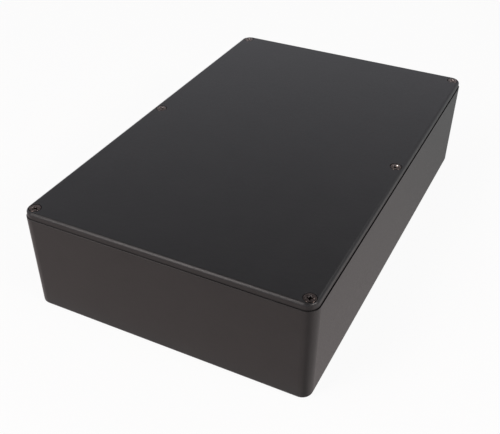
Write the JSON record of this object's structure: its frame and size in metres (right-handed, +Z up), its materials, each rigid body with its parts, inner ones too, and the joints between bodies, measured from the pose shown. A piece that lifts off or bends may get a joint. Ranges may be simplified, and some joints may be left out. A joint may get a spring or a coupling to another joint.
{
  "type": "diecast aluminium enclosure",
  "caption": "Flat rectangular cast enclosure with drafted walls, rounded corners and a lid held by countersunk screws.",
  "frame": {"origin": "centre of the underside", "axes": "+X across the width to the right, +Y along the length to the back, +Z up through the lid"},
  "size_m": [0.175, 0.275, 0.066],
  "materials": {
    "black_coat": "satin",
    "bronzed_steel": "satin"
  },
  "bodies": {
    "root": {"base": "black_coat", "lid": "black_coat", "lid_screw_front_left": "bronzed_steel", "lid_screw_front_right": "bronzed_steel", "lid_screw_left_middle": "bronzed_steel", "lid_screw_right_middle": "bronzed_steel", "lid_screw_back_left": "bronzed_steel", "lid_screw_back_right": "bronzed_steel"}
  },
  "joints": []
}
